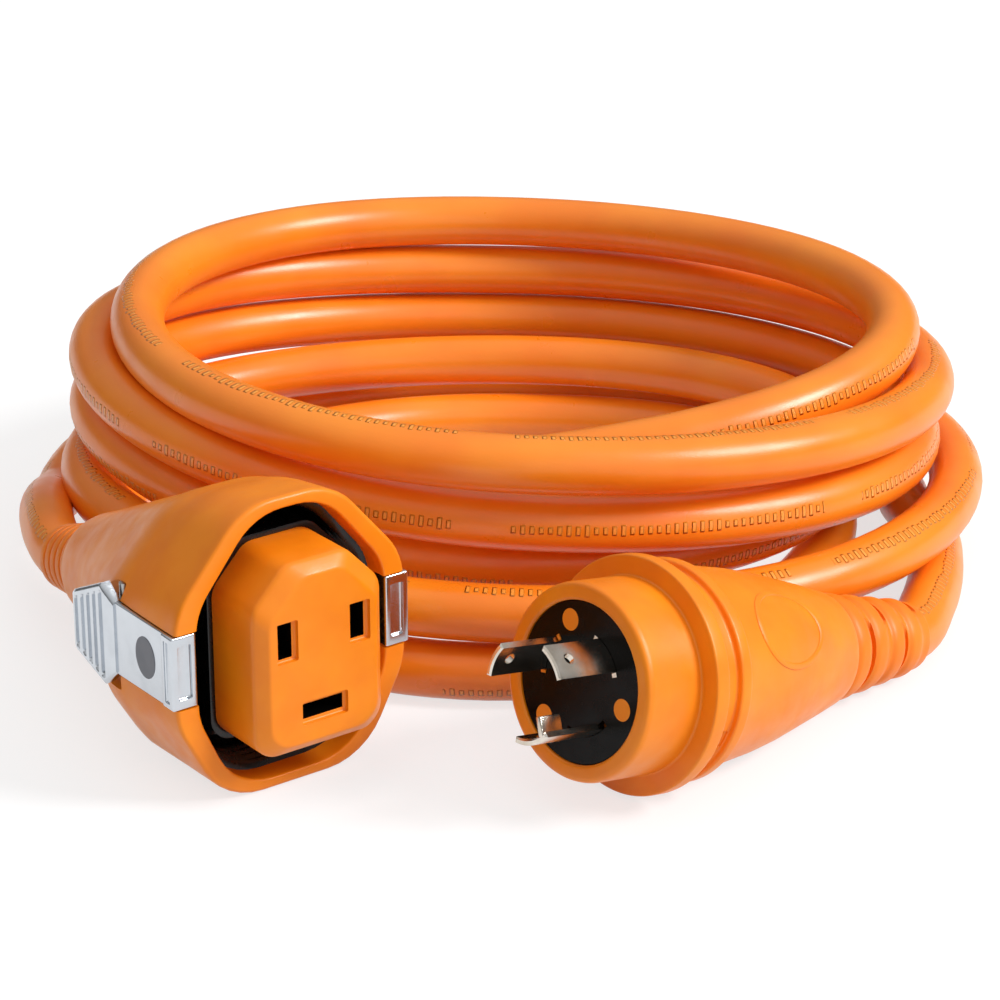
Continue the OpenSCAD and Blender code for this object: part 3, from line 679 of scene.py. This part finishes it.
def add_block():
    """The chamfered block with its three slots; the slots' walls are dark."""
    front, lip = -BLOCK_OUT, BLOCK_CHAMFER
    profile = eased([(lip + 1.6, front), (lip, front), (0, front + lip), (0, 4), (0, MOUTH_DEPTH)],
                    1.1, 4)
    block = loft("block", [standing(block_outline(-inset), y) for inset, y in profile])
    for i, length in enumerate(SLOT_LENGTHS):
        cut(block,
            slab("dish", (-SLOT_W / 2 - 1.3, front - 1, -length / 2 - 1),
                 (SLOT_W / 2 + 1.3, front + 1.6, length / 2 + 1), contact_frame(i), 0.7),
            slab("slot", (-SLOT_W / 2, front - 1, -length / 2), (SLOT_W / 2, 3, length / 2),
                 contact_frame(i), 0.25, 2),
            slab("pocket", (-3.5, -2, -5), (3.5, MOUTH_DEPTH + 1, 5), contact_frame(i)))
    finish_piece(block, LOOKS["housing"], "orange_housing", "contact_block", angle=40)
    block.data.materials.append(LOOKS["face"])
    for face in block.data.polygons:
        spot = face.center / MM
        for i, length in enumerate(SLOT_LENGTHS):
            near = contact_frame(i).inverted() @ spot
            if (abs(near.x) < SLOT_W / 2 + 0.1 and abs(near.z) < length / 2 + 0.1
                    and spot.y > front + 1.7):
                face.material_index = 1


def add_seal():
    """A sleeve with lips against the mouth's wall, a floor, and a lip round the block."""
    inner, block, collar = wall_outline(SEAL_T), block_outline(0), block_outline(SEAL_T)
    rings = [standing(wall_outline(0.01), y) for y in (MOUTH_DEPTH, 20, 12, SEAL_START)]
    ribs, fine, bottom = 4, 8, MOUTH_DEPTH - SEAL_T
    for i in range(ribs * fine + 1):
        y = SEAL_START + 0.3 + (bottom - 3 - SEAL_START) * i / (ribs * fine)
        depth = SEAL_T - 0.5 + 1.3 * max(0, math.sin(2 * math.pi * i / fine)) ** 1.5
        rings.append(standing(wall_outline(depth), y))
    rings += [standing([a.lerp(b, u) for a, b in zip(inner, collar)], bottom + dip)
              for u, dip in ((0.04, -0.6), (0.15, 0), (0.35, -0.8), (0.5, -0.1), (0.65, -0.8),
                             (0.85, 0), (0.96, -0.6))]
    rings += [standing(block_outline(SEAL_T - 0.3), SEAL_START + 1),
              standing(collar, SEAL_START + 0.4), standing(block_outline(0.6), SEAL_START),
              standing(block, SEAL_START + 0.3), standing(block, MOUTH_DEPTH)]
    by_underside = 12
    rings = [sunk(ring) if min(p.z for p in ring) <= by_underside else ring for ring in rings]
    finish_piece(loft("seal", rings, closed=True), LOOKS["seal"], "black_seal", "mouth_seal",
                 angle=50)


def add_connector_relief():
    """A ringed sleeve that tapers to the cable."""
    rings, root, tip = 6, SHELL_TIP_R - 3, CORD_R + RELIEF_WALL
    pitch = CONNECTOR_RELIEF_LEN / rings
    outer = [(root, RELIEF_START)]
    for i in range(rings):
        r = root + (tip - root) * i / (rings - 1)
        outer += [(r, i * pitch + 0.01), (r - 0.15, (i + 0.6) * pitch),
                  (r - 1.2, (i + 0.68) * pitch), (r - 1.3, (i + 0.97) * pitch)]
    outer[-1] = (tip - 1.1, CONNECTOR_RELIEF_LEN)
    bore = [(CORD_R + SNUG, CONNECTOR_RELIEF_LEN), (CORD_R + SNUG, RELIEF_START)]
    profile = eased(outer + bore, 0.45)
    finish_piece(lathe("connector_relief", profile, RELIEF_FRAME), LOOKS["sleeve"],
                 "orange_relief", "connector_strain_relief", angle=50)


# ---------------------------------------------------------------- latches

def pad(place):
    """A finger pad: a flared plate with upright grooves and a raised rim."""
    columns, rows = 120, 64
    overlap, wide, narrowing = 2, 3, 7
    grooves, first_groove, groove_pitch, groove_half, groove_depth = 5, 3.1, 3.05, 0.8, 1.5
    lean = math.radians(-PAD_FLARE)
    root = Vector((MOUTH_W / 2 + LATCH_PROUD - LATCH_T, PIN_Y, 0))

    def half_height(u):
        if u < wide:
            return LATCH_H / 2 + (PAD_H / 2 - LATCH_H / 2) * (u + overlap) / (wide + overlap)
        return PAD_H / 2 - narrowing * (u - wide) / (PAD_LEN - wide)

    def height(u, v):
        top = (PAD_T - 0.9 * max(0, 1 - (u + overlap) / 4)
               - 0.8 * max(0, (u - PAD_LEN + 2.2) / 2.2) ** 2)
        edge = min(1, (1 - abs(v)) * half_height(u) / 1.2)
        top -= 0.9 * (1 - edge) ** 2
        ends = (abs(v) * half_height(u) - (half_height(u) - 3.2)) / 1.2
        for i in range(grooves):
            across = abs(u - (first_groove + i * groove_pitch)) / groove_half
            if across < 1:
                top -= groove_depth * math.sqrt(1 - across ** 2) * max(0, min(1, 1 - ends))
        return top

    front, back = [], []
    for i in range(columns + 1):
        u = -overlap + (PAD_LEN + overlap) * i / columns
        for j in range(rows + 1):
            v = -1 + 2 * j / rows
            z = v * half_height(u)
            for side, x in ((front, height(u, v)), (back, 0.0)):
                side.append(place @ (root + Vector((x * math.cos(lean) - u * math.sin(lean),
                                                    x * math.sin(lean) + u * math.cos(lean), z))))
    n, m = len(front), rows + 1
    faces = []
    for i in range(columns):
        for j in range(rows):
            a = i * m + j
            faces += [(a, a + 1, a + m + 1, a + m), (n + a, n + a + m, n + a + m + 1, n + a + 1)]
    rim = ([i * m for i in range(columns + 1)] + [columns * m + j for j in range(1, m)]
           + [i * m + rows for i in range(columns - 1, -1, -1)] + list(range(rows - 1, 0, -1)))
    faces += [(rim[k], rim[(k + 1) % len(rim)], n + rim[(k + 1) % len(rim)], n + rim[k])
              for k in range(len(rim))]
    return make("pad", front + back, faces)


def add_latch(side, name):
    """A latch: its arm, its hook over the mouth's rim, its knuckle and its finger pad."""
    place = latch_frame(side)
    at_pin = place @ Matrix.Translation((PIN_X, PIN_Y, 0))
    face, high, knuckle_half = MOUTH_W / 2 + LATCH_PROUD, LATCH_H / 2, 7
    inside = MOUTH_W / 2 - SIDE_WALL
    arm = slab(f"{name}_arm", (face - LATCH_T, 3, -high), (face, PIN_Y + 1, high), place, 0.45)
    hook = slab("hook", (inside + 0.4, 0, -high), (face + 0.7, HOOK_LEN, high), place, 0.7, 4)
    knuckle = rod("knuckle", KNUCKLE_R, -knuckle_half, knuckle_half, at_pin)
    bridge = slab("bridge", (PIN_X, PIN_Y - KNUCKLE_R + 0.3, -6.9),
                  (face - 0.6, PIN_Y + KNUCKLE_R - 0.3, 6.9), place, 0.3)
    cut(hook,
        slab("groove", (face + 0.1, 1.9, 1.8 - high), (face + 3, 4.3, high - 1.8), place, 0.4),
        slab("window", (inside + 2.2, -1, 3 - high), (face - 1.2, 1.3, high - 3), place, 0.5))
    fuse(arm, hook, pad(place), bridge, knuckle)
    cut(arm, rod("bore", PIN_R + 0.05, -knuckle_half - 2, knuckle_half + 2, at_pin))
    finish_piece(arm, LOOKS["chrome"], "chromed_latch", name, body=name, angle=38)


def add_latch_badge(side, name):
    """A plain grey oval on the latch's arm."""
    face, middle, half_long, half_high = MOUTH_W / 2 + LATCH_PROUD, 15.5, 5.2, 6.4
    rings = [[latch_frame(side) @ Vector((face + out, middle + half_long * c, half_high * s))
              for c, s in circle(48)] for out in (-0.1, 0.12)]
    finish_piece(loft(f"{name}_badge", rings), LOOKS["badge"], "grey_clamp", body=name)


def add_latch_spring(side, name):
    """A small coil spring round the latch's pin."""
    wire, turns, low, pitch, fine = 0.35, 3, 7.62, 1.05, 20
    radius = PIN_R + GAP + wire
    place = latch_frame(side)
    path = [place @ Vector((PIN_X + radius * math.cos(2 * math.pi * i / fine),
                            PIN_Y + radius * math.sin(2 * math.pi * i / fine),
                            low + pitch * i / fine)) for i in range(turns * fine + 1)]
    finish_piece(tube(name, path, wire, 10), LOOKS["brass"], "brass_spring", name)


# ---------------------------------------------------------------- plug

# the plug's taper, as (radius, distance from the nose's front)
TAPER = [(29.9, 46), (28, 60), (26.1, 70), (23.6, 80), (20.8, 91), (18.4, 100), (17.6, 102)]


def taper_radius(z):
    """The taper's radius at a distance from the nose's front."""
    for (r0, z0), (r1, z1) in zip(TAPER, TAPER[1:]):
        if z <= z1:
            return r0 + (r1 - r0) * (z - z0) / (z1 - z0)
    return TAPER[-1][0]


def add_plug_badge():
    """A plain raised oval outline on the taper."""
    steps, sides, radius, sunk_in = 96, 8, 0.75, 0.15
    middle, half_long, side_angle, half_angle = 64, 15.5, 140, 25
    path = []
    for c, s in circle(steps):
        z, angle = middle + half_long * c, math.radians(side_angle + half_angle * s)
        r = taper_radius(z) - sunk_in
        path.append(PLUG_FRAME @ Vector((r * math.cos(angle), r * math.sin(angle), z)))
    axis = (PLUG_FRAME.to_3x3() @ Vector((0, 0, 1))).normalized()
    start = PLUG_FRAME.to_translation()
    rings = []
    for i, centre in enumerate(path):
        ahead = (path[(i + 1) % steps] - path[i - 1]).normalized()
        out = (centre - start - axis * (centre - start).dot(axis)).normalized()
        side = ahead.cross(out).normalized()
        rings.append([centre + radius * (1.5 * c * side + s * out) for c, s in circle(sides)])
    finish_piece(loft("plug_badge", rings, closed=True), LOOKS["housing"], "orange_housing")


def scoop():
    """The egg-shaped hollow that the taper has on one side."""
    ball = bmesh.new()
    bmesh.ops.create_uvsphere(ball, u_segments=64, v_segments=32, radius=1)
    points = [PLUG_FRAME @ Vector((v.co.x * 17, v.co.y * 20 - 40, v.co.z * 22 + 66))
              for v in ball.verts]
    faces = [[v.index for v in f.verts] for f in ball.faces]
    ball.free()
    return make("scoop", points, faces)


def add_plug_body():
    """The plug's housing: nose, flange, groove, ring and taper, hollow behind its core."""
    back, groove_r, ring_r = NOSE_LEN, FLANGE_R - 4, FLANGE_R - 2
    outer = [(DISC_R, 0.6), (DISC_R + 0.6, 0), (NOSE_R - 1.6, 0.0), (NOSE_R - 0.5, 0.5),
             (NOSE_R, 1.8), (NOSE_R, back),
             (FLANGE_R, back), (FLANGE_R, back + 5.2), (groove_r, back + 5.6),
             (groove_r, back + 12.2), (ring_r, back + 12.6), (ring_r, back + 16.6),
             (groove_r, back + 17.6), *TAPER, (CORD_R + SNUG, PLUG_LEN)]
    inner = [(CORD_R + SNUG, PLUG_LEN - 7), (CAVITY_R, PLUG_LEN - 7), (CAVITY_R, CORE_LEN + 2),
             (DISC_R, CORE_LEN + 2)]
    profile = eased(outer + inner + [outer[0]], 0.8, 4)[1:]
    body = lathe("plug_body_shell", profile, PLUG_FRAME, 160)
    for start in (20, 200):
        cut(body, slab("notch", (FLANGE_R - 4.6, -3, back + 5.8), (FLANGE_R + 6, 3, back + 12),
                       PLUG_FRAME @ turn(start, "Z"), 0.5))
    cut(body, scoop())
    finish_piece(body, LOOKS["housing"], "orange_housing", "plug_body", angle=38)


def curved_plate(name, around, span, start, end, thick, bevel):
    """A plate that bends round the plug's axis, with eased edges."""
    low, high = BLADE_CIRCLE_R - thick / 2, BLADE_CIRCLE_R + thick / 2
    steps, half = 18, span / 2
    place = PLUG_FRAME @ turn(around, "Z")
    rings = []
    for z, draw in ((start, bevel), (start + bevel, 0), (end, 0)):
        ring = []
        for r, order in ((low + draw, range(steps + 1)), (high - draw, range(steps, -1, -1))):
            for i in order:
                share = i / steps * 2 - 1
                angle = math.radians(share * (half - math.degrees(draw / BLADE_CIRCLE_R)))
                ring.append(place @ Vector((r * math.cos(angle), r * math.sin(angle), z)))
        rings.append(ring)
    return loft(name, rings)


def add_blades():
    """The three curved blades, each with its terminal block and its screw and wire holes."""
    root, block_start, block_end, screw = 24, 19, 30, 26
    tip_hole, wire_hole, screw_hole = 1.7, 1.4, 1.3
    for name, (around, span) in BLADES.items():
        place = PLUG_FRAME @ turn(around, "Z")
        blade = curved_plate(f"{name}_plate", around, span, -BLADE_OUT, root, BLADE_T, 0.5)
        if name == "ground_blade":
            fuse(blade, slab("hook", (BLADE_CIRCLE_R - 6.8, -5.2, -BLADE_OUT),
                             (BLADE_CIRCLE_R - 1, -5.2 + BLADE_T, 8 - BLADE_OUT), place, 0.3))
        fuse(blade, slab("block", (BLADE_CIRCLE_R - 4.4, -4.5, block_start),
                         (BLADE_CIRCLE_R + 3, 4.5, block_end), place, 0.3))

        def across(z):
            return place @ Matrix.Translation((0, 0, z)) @ turn(90, "Y")

        at_wire = place @ Matrix.Translation((BLADE_CIRCLE_R - 1.2, 0, 0))
        cut(blade, rod("hole", tip_hole, 0, 30, across(6 - BLADE_OUT), 32),
            rod("hole", wire_hole, block_end - 7, block_end + 1, at_wire, 32),
            rod("hole", screw_hole, 0, BLADE_CIRCLE_R - 1, across(screw), 32))
        finish_piece(blade, LOOKS["nickel"], "nickel_blade", name, angle=30)


def add_plug_face():
    """The black face, its three pegs, and the chips at the ends of two blades' slits."""
    disc = rod("plug_face", DISC_R - SNUG, DISC_FRONT, DISC_FRONT + DISC_T, PLUG_FRAME, 128, 0.3)
    for around in PEG_ANGLES:
        spot = PLUG_FRAME @ turn(around, "Z") @ Matrix.Translation((PEG_CIRCLE_R, 0, 0))
        cut(disc, rod("hole", PEG_R + SNUG, 0, 10, spot, 40))
        peg = rod(f"face_peg_{around}", PEG_R, DISC_FRONT - 0.05, DISC_FRONT + DISC_T, spot, 40,
                  0.25)
        finish_piece(peg, LOOKS["housing"], "orange_housing")
    for around, span in BLADES.values():
        cut(disc, curved_plate("slit", around, span + 12, 0, 10, BLADE_T + GAP, 0))
    for blade, look, slot, width in (("neutral_blade", "housing", "orange_housing", 3.6),
                                     ("line_blade", "nickel", "nickel_blade", 5.5)):
        around, span = BLADES[blade]
        for end in (-1, 1):
            chip = curved_plate(f"{blade}_mark_{end + 1}", around + end * (span / 2 + 3.4), width,
                                DISC_FRONT - 0.3, DISC_FRONT + DISC_T, BLADE_T, 0.1)
            finish_piece(chip, LOOKS[look], slot)
    finish_piece(disc, LOOKS["face"], "black_face", "plug_face_disc")


def add_plug_relief():
    """A tapering sleeve with staggered slots."""
    rows, root, tip = 4, 16.6, CORD_R + RELIEF_WALL
    ring_pitch, ring_step, slot_pitch, slot_len = 9.6, 1.35, 9.2, 3.6
    outer = [(root + 0.6, RELIEF_START), (root, 0.4)]
    for row in range(rows):
        z, r = 1.2 + row * ring_pitch, root - row * ring_step
        outer += [(r - 0.9, z), (r + 0.1, z + 1.6), (r, z + 5.4), (r - 1.2, z + 7.6)]
    outer += [(tip + 0.3, PLUG_RELIEF_LEN - 2), (tip, PLUG_RELIEF_LEN)]
    bore = [(CORD_R + SNUG, PLUG_RELIEF_LEN), (CORD_R + SNUG, RELIEF_START)]
    place = PLUG_FRAME @ Matrix.Translation((0, 0, PLUG_LEN))
    relief = lathe("plug_relief", eased(outer + bore, 1.0), place)
    for row in range(rows):
        low = 7.6 + row * slot_pitch
        for half in (0, 180):
            cut(relief, slab("slot", (CORD_R + 0.6, -13, low), (30, 13, low + slot_len),
                             place @ turn(half + 90 * (row % 2), "Z"), 0.8))
    finish_piece(relief, LOOKS["sleeve"], "orange_relief", "plug_strain_relief", angle=45)


# ---------------------------------------------------------------- frame pieces and stage

NODE_LOOKS = {
    "tail": "sheath", "core": "housing", "socket": "brass", "clamp": "clamp",
    "line_wire": "black_wire", "neutral_wire": "white_wire", "ground_wire": "green_wire",
    "screws": "steel", "pin": "steel",
}


def dress_frame():
    """Gives the CAD pieces that stay their looks."""
    for name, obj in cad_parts.items():
        look = "steel"
        for word, kind in NODE_LOOKS.items():
            if word in name:
                look = kind
        obj.data.materials.clear()
        obj.data.materials.append(LOOKS[look])


FLOOR_REACH, FLOOR_DROP = 12 / MM, 0.15
SKY_LOW, SKY_HIGH = 0.1, 0.82
# each lamp's name, strength, width in degrees, and the way its light comes from
LAMPS = (("key", 2.45, 20, (0.72, -0.85, 0.9)), ("fill", 0.5, 60, (-0.15, -1.0, 0.2)))


def add_floor():
    """A plain floor that is white to the camera and the metal, and still shows the shadow."""
    corners = [(x * FLOOR_REACH, y * FLOOR_REACH, -FLOOR_DROP)
               for x, y in ((-1, -1), (1, -1), (1, 1), (-1, 1))]
    floor = make("floor", corners, [(0, 1, 2, 3)])
    look = Look("floor", base_color=(0.7, 0.7, 0.7, 1), roughness=0.9, specular_ior_level=0.1)
    bright = look.node("ShaderNodeEmission", {}, {"Color": (1, 1, 1, 1), "Strength": 1.42})
    camera, glossy, through = (look.node("ShaderNodeLightPath", {}, {}, f"Is {kind} Ray")
                               for kind in ("Camera", "Glossy", "Transmission"))
    lit = Signal(look, look.shader.outputs[0])
    mixed = look.node("ShaderNodeMixShader", {}, {0: (camera + glossy + through) * 0.5, 1: lit,
                                                  2: bright})
    look.finish(mixed, "Material Output", "Surface")
    floor.data.materials.append(look.material)


def add_sky():
    """A soft light that grows from the horizon up."""
    world = bpy.data.worlds.new("studio")
    bpy.context.scene.world = world
    sky = Graph(world)
    way = sky.node("ShaderNodeTexCoord", {}, {}, "Generated")
    height = sky.node("ShaderNodeSeparateXYZ", {}, {"Vector": way}, "Z")
    level = sky.spread(height, 0.15, 1.0, SKY_LOW, SKY_HIGH)
    grey = sky.node("ShaderNodeCombineColor", {}, {0: level, 1: level, 2: level})
    sky.finish(grey, "Background", "Color")


def add_lamps():
    for name, strength, spread, way in LAMPS:
        lamp = bpy.data.objects.new(name, bpy.data.lights.new(name, "SUN"))
        lamp.data.energy, lamp.data.angle = strength, math.radians(spread)
        look_back(lamp, way)
        bpy.context.scene.collection.objects.link(lamp)


add_camera()
add_cable()
add_shell()
add_block()
add_seal()
add_connector_relief()
for latch_side, latch_name in ((-1, "left_latch"), (1, "right_latch")):
    add_latch(latch_side, latch_name)
    add_latch_badge(latch_side, latch_name)
    add_latch_spring(latch_side, f"{latch_name}_spring")
add_plug_body()
add_plug_badge()
add_plug_face()
add_blades()
add_plug_relief()
dress_frame()
add_floor()
add_sky()
add_lamps()
bpy.context.scene.view_settings.view_transform = "Standard"
